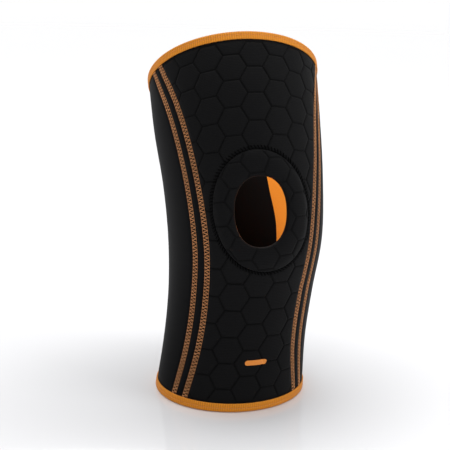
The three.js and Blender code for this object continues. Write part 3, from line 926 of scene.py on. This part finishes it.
class SLEEVE_OT_plain_panels(Operator):
    """Makes the strips beside the front, the two sides and the panel behind the knee"""

    bl_idname = "sleeve.plain_panels"
    bl_label = "Plain Panels"

    def execute(self, context):
        sizes = context.scene.sleeve_sizes
        half = PIECE_GAP / 2
        strip = (front_seam(half), front_seam(STRIP_WIDTH - half))
        side = (front_seam(STRIP_WIDTH + half), back_seam(-half))
        back_edge = back_seam(half)
        back = (back_edge, lambda share: 2 * math.pi - back_edge(share))
        panels = [
            ("plain_strip_right", "strip_right", strip, STRIP_WIDTH, PANEL_THICKNESS),
            ("plain_strip_left", "strip_left", mirrored(strip), STRIP_WIDTH, PANEL_THICKNESS),
            ("knit_side_right", "side_right", side, SIDE_WIDTH, PANEL_THICKNESS),
            ("knit_side_left", "side_left", mirrored(side), SIDE_WIDTH, PANEL_THICKNESS),
            ("knit_back", "back_panel", back, SIDE_WIDTH, WALL_THICKNESS),
        ]
        for name, node, (first, last), width, thickness in panels:
            share, angle = panel_grid(first, last, width)
            gap = seam_gap(share, angle)
            outer = place(share, angle, plain_rise(share, angle, gap, sizes)).reshape(-1, 3)
            under = place(share, angle, -thickness).reshape(-1, 3)
            flat = np.stack((arc_along(share, angle).ravel(), length_at_share(share).ravel()), axis=1)
            piece = make_piece(
                name,
                np.concatenate((outer, under)),
                closed_faces(surface_grid(*share.shape), len(outer)),
                shared("Flat nylon warp knit", plain_knit, context.scene.sleeve_colours),
                np.concatenate((flat, flat)),
            )
            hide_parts(node)
            cut, area = cloth_facts(share, angle)
        return {"FINISHED"}


LINING_CLEARANCE = 0.62 * MM  # how much larger the lining's opening is than the ring's, on each side
LINING_SHIFT = 0.35 * MM  # how far it is sewn in to the right and up, which bares its edge at the lower left


class SLEEVE_OT_lining(Operator):
    """Makes the orange lining of the front and the sides, with the kneecap opening cut out"""

    bl_idname = "sleeve.lining"
    bl_label = "Lining"

    def execute(self, context):
        edge = back_seam(-PIECE_GAP / 2)
        share, angle = panel_grid(lambda share: -edge(share), edge, LINING_WIDTH)
        arc = arc_along(share, angle)
        points = np.stack((share.ravel(), arc.ravel(), angle.ravel()), axis=1)
        quads = surface_grid(*share.shape)
        triangles = np.concatenate((quads[:, [0, 1, 2]], quads[:, [0, 2, 3]]))

        def beyond_hole(flat):
            y = length_at_share(flat[:, 0]) - KNEE_LENGTH
            return outside_hole(flat[:, 1] - LINING_SHIFT, y - LINING_SHIFT, LINING_CLEARANCE)

        points, triangles = trimmed(points, triangles, beyond_hole)
        outer = place(points[:, 0], points[:, 2], -PANEL_THICKNESS - PIECE_GAP)
        inner = place(points[:, 0], points[:, 2], -WALL_THICKNESS)
        flat = np.stack((points[:, 1], length_at_share(points[:, 0])), axis=1)
        piece = make_piece(
            "orange_lining",
            np.concatenate((outer, inner)),
            closed_faces(triangles, len(outer)),
            shared("Brushed orange jersey", lining_knit, context.scene.sleeve_colours),
            np.concatenate((flat, flat)),
        )
        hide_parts("lining")
        cut, area = cloth_facts(share, angle)
        return {"FINISHED"}


# The hem tapes

STITCH_LINE = 0.5 * BINDING_WIDTH  # distance from the hem to the stitches of the tape
TAPE_STITCH = 2.8 * MM  # length of one of those stitches
FOLD_RUN = 2.3 * MM  # distance from the hem over which the tape turns round it
FOLD_POWER = 2 / 2.5  # 1 makes the fold round, and less makes it squarer
RIB_HEIGHT = 0.11 * MM  # how far a rib rises above the tape, and the ground between ribs lies below it
HIDDEN_POINTS = 6  # points of the tape's cross-section that lie inside its fold


def tape_profile():
    """Distances from the hem and rises of the tape's cross-section, and 1 where its ribs show."""
    middle = (TAPE_OUT + TAPE_IN) / 2
    half = (TAPE_OUT - TAPE_IN) / 2
    outer_leg = np.linspace(BINDING_WIDTH - 0.25 * MM, FOLD_RUN, 15)[:-1]
    sink = 0.22 * MM * np.exp(-((outer_leg - STITCH_LINE) / (0.45 * MM)) ** 2)
    turns = np.linspace(-math.pi / 2, math.pi / 2, 15)
    fold_rise = middle - half * np.sign(np.sin(turns)) * np.abs(np.sin(turns)) ** FOLD_POWER
    fold_distance = FOLD_RUN * (1 - np.abs(np.cos(turns)) ** FOLD_POWER)
    inner_leg = np.linspace(FOLD_RUN, BINDING_WIDTH, 4)[1:]
    low = TAPE_IN + TAPE_THICKNESS
    high = TAPE_OUT - TAPE_THICKNESS
    distance = np.concatenate((
        [BINDING_WIDTH, BINDING_WIDTH],
        outer_leg,
        fold_distance,
        inner_leg,
        [BINDING_WIDTH, 2.6 * MM, 1.2 * MM, 1.2 * MM, 2.6 * MM, BINDING_WIDTH],
    ))
    rise = np.concatenate((
        [TAPE_OUT - 0.6 * MM, TAPE_OUT - 0.2 * MM],
        TAPE_OUT - sink,
        fold_rise,
        np.full(len(inner_leg), TAPE_IN),
        [low, low, low + 0.5 * MM, high - 0.5 * MM, high, high],
    ))
    ribbed = np.ones(len(distance))
    ribbed[-HIDDEN_POINTS:] = 0
    ribbed[0] = 0
    return distance, rise, ribbed


def hem_line(upper, distance, rise, count=2400):
    """Points and arcs of a line round the leg that follows a hem."""
    angle = np.linspace(0, 2 * math.pi, count + 1)
    line = place(hem_share(upper, angle, distance), angle, rise)
    arc = np.concatenate(([0], np.cumsum(np.linalg.norm(np.diff(line, axis=0), axis=1))))
    return angle, line, arc


def tape_stitches(upper, name, sizes, colours):
    """The row of short stitches that holds a tape down, each dipping into the tape at its ends."""
    angles, line, arcs = hem_line(upper, STITCH_LINE, TAPE_OUT)
    normals = (hem_line(upper, STITCH_LINE, TAPE_OUT + MM)[1] - line) / MM
    part = np.linspace(0.08, 0.92, 7)
    arch = np.sqrt(np.clip(1 - (2.38 * (part - 0.5)) ** 2, 0, 1))
    lift = (-0.30 + 0.38 * arch) * MM
    stitches = round(arcs[-1] / TAPE_STITCH)
    threads = []
    for k in range(stitches):
        arc = (k + part) * arcs[-1] / stitches
        base = np.stack([np.interp(arc, arcs, line[:, axis]) for axis in range(3)], axis=1)
        normal = np.stack([np.interp(arc, arcs, normals[:, axis]) for axis in range(3)], axis=1)
        threads.append((base + normal * lift[:, None], normal, 0.45 * sizes.thread))
    return thread_piece(name, threads, orange_thread(colours))


class SLEEVE_OT_hem_tapes(Operator):
    """Folds a ribbed tape over each hem and sews it down"""

    bl_idname = "sleeve.hem_tapes"
    bl_label = "Hem Tapes"

    def execute(self, context):
        sizes = context.scene.sleeve_sizes
        colours = context.scene.sleeve_colours
        distance, rise, ribbed = tape_profile()
        tangent = np.gradient(np.stack((distance, rise)), axis=1)
        tangent = tangent / np.linalg.norm(tangent, axis=0)
        outward = np.stack((tangent[1], -tangent[0]))
        girth = np.cumsum(np.hypot(np.gradient(distance), np.gradient(rise)))
        tapes = ((True, "binding_top", "hem_tape_top"), (False, "binding_bottom", "hem_tape_bottom"))
        for upper, node, name in tapes:
            angles, _, arcs = hem_line(upper, STITCH_LINE, TAPE_OUT)
            ribs = round(arcs[-1] / sizes.tape_rib)
            rounds = 4 * ribs
            arc = np.linspace(0, arcs[-1], rounds, endpoint=False)
            angle = np.interp(arc, arcs, angles)[:, None]
            wave = RIB_HEIGHT * np.cos(2 * math.pi * ribs * arc / arcs[-1])[:, None] * ribbed[None, :]
            along = distance[None, :] + wave * outward[0]
            height = rise[None, :] + wave * outward[1]
            points = place(hem_share(upper, angle, along), angle, height).reshape(-1, 3)
            points[:, 2] = np.maximum(points[:, 2], 0)
            faces = joined_sections(rounds, len(distance), True)
            flat = np.stack(np.broadcast_arrays(arc[:, None], girth[None, :]), axis=-1)
            # the ribs' height, which the tape's material turns into a painted highlight on the ribs and painted
            # shade between them
            rib_height = np.broadcast_to(0.5 + wave / (2 * RIB_HEIGHT), flat.shape[:2])
            tape = make_piece(
                name,
                points,
                [faces if upper else faces[:, ::-1]],
                shared("Woven polyester rib tape", rib_tape, colours),
                flat.reshape(-1, 2),
                rib_height.ravel(),
            )
            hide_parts(node)
            stitches = tape_stitches(upper, name + "_stitches", sizes, colours)
        return {"FINISHED"}


# The stitches

STITCH_POINTS = 8  # points of a thread's path in one stitch
BACK_STITCH = 2.6 * MM  # length of a stitch of the back seams
BACK_REACH = 1.1 * MM  # how far its zigzag reaches to each side
CORE_YARN = 0.75 * MM  # thickness of the yarn that fills the back seams
BACK_THREAD = 0.42 * MM  # thickness of the zigzag over it
OVERLOCK_THREAD = 0.80 * MM
OVERLOCK_MIDDLE = 1.4 * MM  # how far outside the ring's rim the middle of an overlock stitch lies
OVERLOCK_REACH = 1.9 * MM  # and how far it reaches from there to each side
OVERLOCK_SLANT = 0.012  # how far its ends lean round the rim, in radians


def seam_frame(seam, side, count=1600):
    """A seam with its length, its outward normals and the direction across it, from hem to hem."""
    share = np.linspace(0, 1, count)
    angle = side * seam(share)
    keep = from_hem(share, angle) > BINDING_WIDTH - 1.5 * MM
    share = share[keep]
    angle = angle[keep]
    line = place(share, angle, 0.0)
    normals = (place(share, angle, MM) - line) / MM
    ahead = np.gradient(line, axis=0)
    ahead = ahead / np.linalg.norm(ahead, axis=1, keepdims=True)
    across = np.cross(ahead, normals)
    length = np.concatenate(([0], np.cumsum(np.linalg.norm(np.diff(line, axis=0), axis=1))))
    return line, length, normals, across


def on_frame(seam, along, across, lift):
    """Points at lengths along a seam, moved across it and lifted off it, and the normals there."""
    line, length, normals, sideways = seam
    base, normal, side = (
        np.stack([np.interp(along, length, values[:, axis]) for axis in range(3)], axis=1)
        for values in (line, normals, sideways)
    )
    return base + side * across[:, None] + normal * lift[:, None], normal


def sew_along(seam, step, pattern, name, material):
    """One piece of threads that follow a seam. pattern gives each thread's way across the seam, its lift and
    its thickness at turns of the stitch."""
    stitches = math.floor(seam[1][-1] / step)
    phase = np.linspace(0, stitches, stitches * STITCH_POINTS + 1)
    threads = []
    for across, lift, thickness in pattern(2 * math.pi * phase):
        path, normal = on_frame(seam, phase * step, across, lift)
        threads.append((path, normal, thickness / 2))
    thread_piece(name, threads, material)


def zigzag(turn, half, flatness):
    """A zigzag that is half wide on each side. A flatness above 1 lengthens its turning points."""
    return half * np.clip(flatness * 2 / math.pi * np.arcsin(np.sin(turn)), -1, 1)


class SLEEVE_OT_flatlock_rows(Operator):
    """Sews the four rows of orange flatlock stitches"""

    bl_idname = "sleeve.flatlock_rows"
    bl_label = "Flatlock Rows"

    def execute(self, context):
        sizes = context.scene.sleeve_sizes
        thread = sizes.thread
        cover = sizes.cover_thread
        edge = (sizes.flatlock_width - thread) / 2
        press = thread / 2 - sizes.seam_press

        def flatlock(turn):
            sway = 0.1 * MM * np.sin(turn)
            across = zigzag(turn, (sizes.flatlock_width - cover) / 2, 1.3)
            return [
                (across, press + thread * (0.6 + 0.3 * np.cos(2 * turn)), cover),
                (edge + sway, press + 0.2 * thread * np.cos(turn), thread),
                (-edge + sway, press - 0.2 * thread * np.cos(turn), thread),
            ]

        material = orange_thread(context.scene.sleeve_colours)
        for side, hand in ((1, "right"), (-1, "left")):
            for offset, row in ((0.0, "inner"), (STRIP_WIDTH, "outer")):
                seam = seam_frame(front_seam(offset), side)
                name = f"flatlock_{hand}_{row}"
                sew_along(seam, sizes.flatlock_step, flatlock, name, material)
        return {"FINISHED"}


class SLEEVE_OT_back_seams(Operator):
    """Sews the sides to the back panel with a dark zigzag over a core yarn that fills the seam"""

    bl_idname = "sleeve.back_seams"
    bl_label = "Back Seams"

    def execute(self, context):
        press = context.scene.sleeve_sizes.seam_press

        def over_core(turn):
            core = np.zeros(len(turn))
            return [
                (core, core - press + 0.12 * MM, CORE_YARN),
                (zigzag(turn, BACK_REACH, 1.1), 0.22 * MM * (1 + np.cos(turn) ** 2) - press, BACK_THREAD),
            ]

        material = black_thread(context.scene.sleeve_colours)
        for side, hand in ((1, "right"), (-1, "left")):
            seam = seam_frame(back_seam(0.0), side)
            sew_along(seam, BACK_STITCH, over_core, f"back_seam_{hand}", material)
        return {"FINISHED"}


class SLEEVE_OT_ring_overlock(Operator):
    """Sews the ring into the front with short dark stitches across their seam"""

    bl_idname = "sleeve.ring_overlock"
    bl_label = "Ring Overlock"

    def execute(self, context):
        sizes = context.scene.sleeve_sizes
        turn = np.linspace(0, 2 * math.pi, 2001)
        x, y = ring_outline(turn)
        length = np.concatenate(([0], np.cumsum(np.hypot(np.diff(x), np.diff(y)))))
        stitches = round(length[-1] / sizes.overlock_step)
        part = np.linspace(-1, 1, 9)
        out = OVERLOCK_MIDDLE + OVERLOCK_REACH * part
        threads = []
        for k in range(stitches):
            here = np.interp((k + 0.5) * length[-1] / stitches, length, turn)
            rim_x, rim_y = ring_outline(here + OVERLOCK_SLANT * part)
            hole_x, hole_y = hole_outline(here)
            border = np.hypot(rim_x - hole_x, rim_y - hole_y)
            x = rim_x + (rim_x - hole_x) / border * out
            y = rim_y + (rim_y - hole_y) / border * out
            cloth = front_rise(share_at_length(KNEE_LENGTH + y), x, sizes)
            lift = cloth + 0.15 * MM - 0.5 * MM * np.abs(part) ** 6
            line = place_on_knee(x, y, lift)
            normal = (place_on_knee(x, y, lift + MM) - line) / MM
            threads.append((line, normal, OVERLOCK_THREAD / 2))
        thread_piece("ring_overlock", threads, black_thread(context.scene.sleeve_colours))
        return {"FINISHED"}


BAR_WIDTH = 18 * MM
BAR_HEIGHT = 4 * MM
BAR_MIDDLE = (6 * MM, 39.5 * MM)  # its middle, right of the front's middle line and up from the lower hem
BAR_END = 0.3 * MM  # half the height of the small flat at each end
BAR_GRID = (15, 73)  # rows and columns of its mesh
BAR_SPREAD = 0.9 * MM  # film this stiff evens out the cloth's dips over this distance


class SLEEVE_OT_plain_bar(Operator):
    """Presses a small plain bar of film on to the front"""

    bl_idname = "sleeve.plain_bar"
    bl_label = "Plain Bar"

    def execute(self, context):
        sizes = context.scene.sleeve_sizes
        rows, columns = BAR_GRID
        across = np.linspace(-1, 1, columns)[None, :] * BAR_WIDTH / 2
        up = np.linspace(-1, 1, rows)[:, None]
        beyond = np.clip(np.abs(across) - (BAR_WIDTH - BAR_HEIGHT) / 2, 0, None)
        tall = np.sqrt(np.clip((BAR_HEIGHT / 2) ** 2 - beyond ** 2, BAR_END ** 2, None))
        x = np.broadcast_to(across, BAR_GRID) + BAR_MIDDLE[0]
        length = BAR_MIDDLE[1] + up * tall
        share = share_at_length(length)
        rises = [
            front_rise(share_at_length(length + b * BAR_SPREAD), x + a * BAR_SPREAD, sizes)
            for a, b in ((0, 0), (1, 0), (-1, 0), (0, 1), (0, -1))
        ]
        rise = np.mean(rises, axis=0)
        angle = angle_along(share, x)
        outer = place(share, angle, rise + 0.30 * MM).reshape(-1, 3)
        inner = place(share, angle, rise - 0.15 * MM).reshape(-1, 3)
        flat = np.stack((x.ravel(), length.ravel()), axis=1)
        make_piece(
            "plain_bar",
            np.concatenate((outer, inner)),
            closed_faces(surface_grid(rows, columns), len(outer)),
            shared("Pressed polyurethane film", transfer_film, context.scene.sleeve_colours),
            np.concatenate((flat, flat)),
        )
        return {"FINISHED"}


# The studio

CAMERA_PLACE = Vector((-0.1669, -0.7425, 0.3309))
CAMERA_AZIMUTH = math.radians(-12.9)
CAMERA_PITCH = math.radians(-14.77)
CAMERA_ROLL = math.radians(1.49)
PHOTO_WIDTH = 450  # pixels
FOCAL_LENGTH = 948  # pixels
SENSOR_WIDTH = 36.0
CAMERA_AIM = math.atan(15.33 / FOCAL_LENGTH)  # puts the sleeve a little right of the middle, as in the photo
FLOOR_SIDES = 96
FLOOR_RADII = (0.4, 1.2, 4.0, 14.0)
WHITE = (1.0, 1.0, 1.0, 1.0)


def hang(scene, light, spot, target):
    """Puts a light in the studio, aimed at a target."""
    lamp = bpy.data.objects.new(light.name, light)
    lamp.location = spot
    lamp.rotation_mode = "QUATERNION"
    lamp.rotation_quaternion = (Vector(target) - Vector(spot)).to_track_quat("-Z", "Y")
    scene.collection.objects.link(lamp)


class SLEEVE_OT_studio(Operator):
    """Sets up the floor, the lights and the camera"""

    bl_idname = "sleeve.studio"
    bl_label = "Studio"

    def execute(self, context):
        scene = context.scene
        mesh = bpy.data.meshes.new("studio_floor")
        turns = np.linspace(0, 2 * math.pi, FLOOR_SIDES, endpoint=False)
        points = [(0.0, 0.0, 0.0)]
        points += [(r * math.cos(t), r * math.sin(t), 0.0) for r in FLOOR_RADII for t in turns]
        faces = [(0, 1 + k, 1 + (k + 1) % FLOOR_SIDES) for k in range(FLOOR_SIDES)]
        rings = joined_sections(len(FLOOR_RADII), FLOOR_SIDES, False) + 1
        faces += rings[:, ::-1].tolist()
        mesh.from_pydata(points, [], faces)
        mesh.materials.append(shared("Satin board with painted shadow", studio_floor, scene.sleeve_colours))
        floor = bpy.data.objects.new("studio_floor", mesh)
        scene.collection.objects.link(floor)

        world = bpy.data.worlds.new("Studio air")
        world.use_nodes = True
        air = world.node_tree
        sky = add(air, "ShaderNodeTexCoord")
        height = add(air, "ShaderNodeSeparateXYZ", {"Vector": sky.outputs["Generated"]}).outputs["Z"]
        inputs = {"Value": height, "From Min": 0.05, "From Max": 0.35, "To Min": 1.0, "To Max": 0.32}
        glow = add(air, "ShaderNodeMapRange", inputs, interpolation_type="SMOOTHSTEP")
        background = air.nodes["Background"]
        background.inputs["Color"].default_value = WHITE
        air.links.new(glow.outputs["Result"], background.inputs["Strength"])
        scene.world = world
        scene.view_settings.view_transform = "Standard"

        lights = [
            ("Overhead softbox", (0.0, 0.9, 2.6), (0.0, 0.5, 0.0), 3.0, 26.0),
            ("Left front softbox", (-0.85, -1.35, 0.62), (0.0, 0.0, 0.16), 0.45, 3.0),
            ("Right softbox", (1.2, -0.8, 0.9), (0.0, 0.0, 0.15), 0.7, 8.0),
        ]
        for name, spot, target, size, power in lights:
            light = bpy.data.lights.new(name, "AREA")
            light.shape = "SQUARE"
            light.size = size
            light.energy = power
            hang(scene, light, spot, target)
        high = bpy.data.lights.new("High soft light", "SUN")
        high.energy = 2.25
        high.angle = math.radians(75)
        hang(scene, high, (0.0, 1.0, 2.2), (0.0, 0.0, 0.0))
        snoot = bpy.data.lights.new("Snoot down the sleeve", "SPOT")
        snoot.energy = 32.0
        snoot.spot_size = math.radians(4.6)
        snoot.spot_blend = 0.5
        snoot.shadow_soft_size = 0.02
        hang(scene, snoot, (-0.30, 0.06, 1.0), (0.055, 0.03, 0.125))

        camera = bpy.data.cameras.new("Camera")
        camera.sensor_width = SENSOR_WIDTH
        camera.lens = FOCAL_LENGTH / PHOTO_WIDTH * SENSOR_WIDTH
        camera.clip_start = 0.01
        camera.clip_end = 100.0
        eye = bpy.data.objects.new("Camera", camera)
        ahead = Vector((
            -math.sin(CAMERA_AZIMUTH) * math.cos(CAMERA_PITCH),
            math.cos(CAMERA_AZIMUTH) * math.cos(CAMERA_PITCH),
            math.sin(CAMERA_PITCH),
        ))
        eye.location = CAMERA_PLACE
        eye.rotation_mode = "QUATERNION"
        level = ahead.to_track_quat("-Z", "Y")
        roll = Quaternion((0, 0, 1), CAMERA_ROLL)
        aim = Quaternion((0, 1, 0), CAMERA_AIM)
        eye.rotation_quaternion = level @ roll @ aim
        scene.collection.objects.link(eye)
        scene.camera = eye
        return {"FINISHED"}


class SLEEVE_PT_builder(Panel):
    """Lists the pieces of the sleeve"""

    bl_idname = "SLEEVE_PT_builder"
    bl_label = "Knee Sleeve"
    bl_space_type = "VIEW_3D"
    bl_region_type = "UI"
    bl_category = "Knee Sleeve"

    def draw(self, context):
        layout = self.layout
        for operator in OPERATORS:
            layout.operator(operator.bl_idname)
        for group in (context.scene.sleeve_sizes, context.scene.sleeve_colours):
            for name in group.__annotations__:
                layout.prop(group, name)


OPERATORS = (
    SLEEVE_OT_quilted_front,
    SLEEVE_OT_kneecap_ring,
    SLEEVE_OT_plain_panels,
    SLEEVE_OT_lining,
    SLEEVE_OT_hem_tapes,
    SLEEVE_OT_flatlock_rows,
    SLEEVE_OT_back_seams,
    SLEEVE_OT_ring_overlock,
    SLEEVE_OT_plain_bar,
    SLEEVE_OT_studio,
)
CLASSES = (SleeveSizes, SleeveColours, *OPERATORS, SLEEVE_PT_builder)


def register():
    for kind in CLASSES:
        bpy.utils.register_class(kind)
    bpy.types.Scene.sleeve_sizes = PointerProperty(type=SleeveSizes)
    bpy.types.Scene.sleeve_colours = PointerProperty(type=SleeveColours)


def unregister():
    del bpy.types.Scene.sleeve_colours
    del bpy.types.Scene.sleeve_sizes
    for kind in reversed(CLASSES):
        bpy.utils.unregister_class(kind)


def main():
    register()
    bpy.ops.sleeve.quilted_front()
    bpy.ops.sleeve.kneecap_ring()
    bpy.ops.sleeve.plain_panels()
    bpy.ops.sleeve.lining()
    bpy.ops.sleeve.hem_tapes()
    bpy.ops.sleeve.flatlock_rows()
    bpy.ops.sleeve.back_seams()
    bpy.ops.sleeve.ring_overlock()
    bpy.ops.sleeve.plain_bar()
    bpy.ops.sleeve.studio()


if __name__ == "__main__":
    main()
